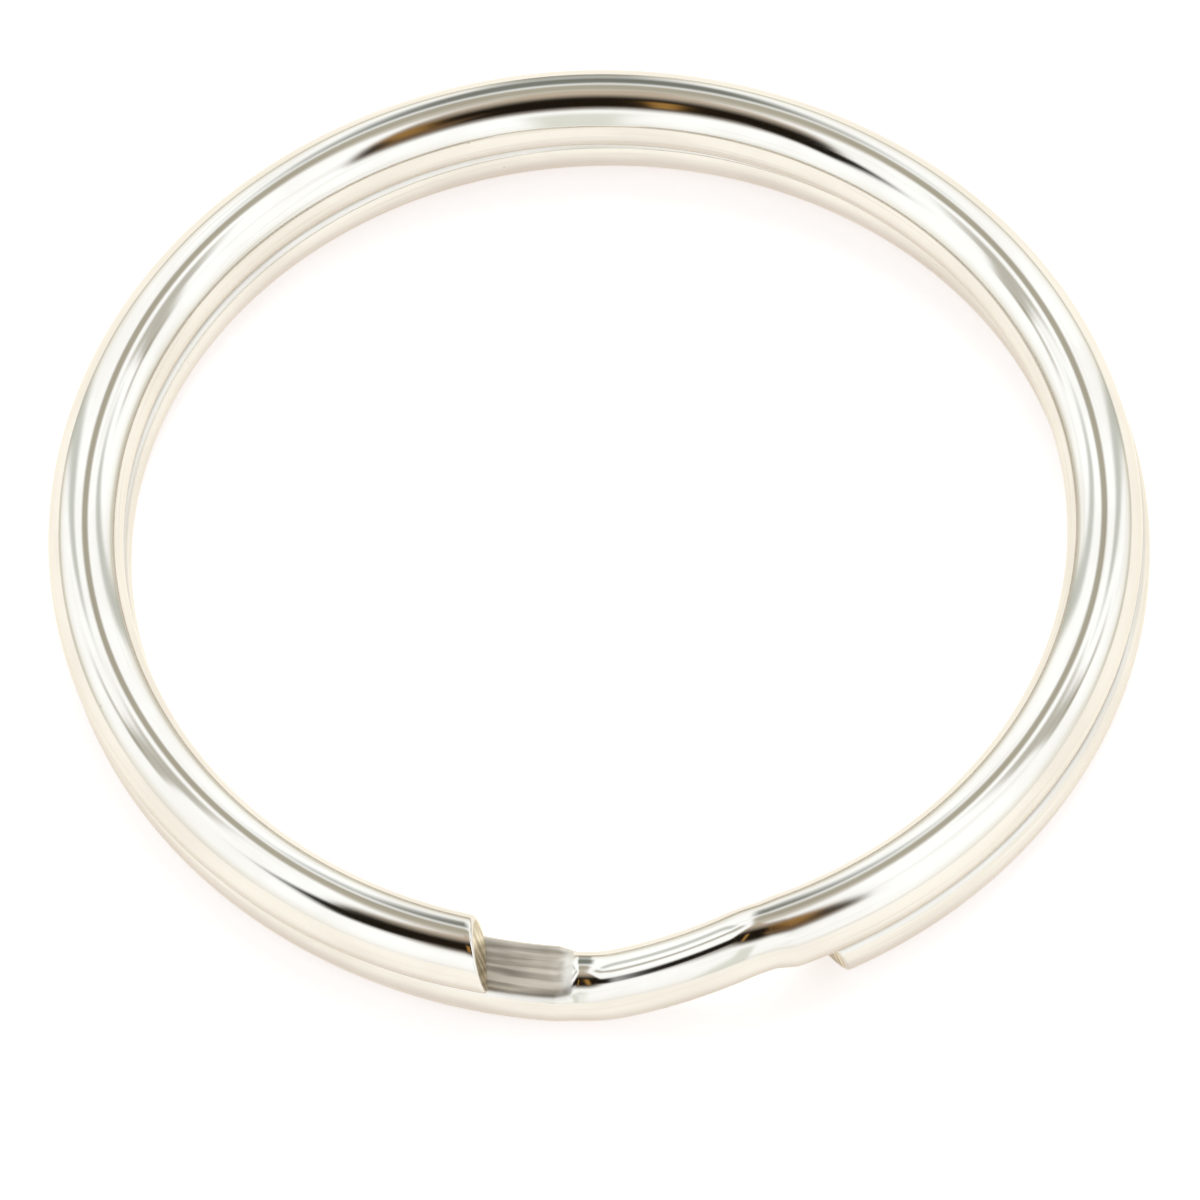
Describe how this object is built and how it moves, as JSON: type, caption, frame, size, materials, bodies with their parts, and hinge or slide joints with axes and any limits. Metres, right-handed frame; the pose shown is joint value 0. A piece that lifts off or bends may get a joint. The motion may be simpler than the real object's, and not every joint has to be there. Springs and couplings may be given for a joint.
{
  "type": "split ring",
  "caption": "Flat-lying double-turn ring of bright round spring wire, with a stepped joggle and staggered cut ends, that holds keys, tags or charms.",
  "frame": {"origin": "middle of the ring's footprint, on the surface that it lies on", "axes": "+Z along the ring's axis, up from the surface; -Y towards the joggle and the two cut ends; +X to the right as seen from the joggle's side"},
  "size_m": [0.0252, 0.025, 0.0028],
  "materials": {
    "bright_nickel": "bright nickel plate over spring steel, worn matt and striated on the pressed faces"
  },
  "bodies": {
    "root": {"split_ring": "bright_nickel"}
  },
  "joints": []
}
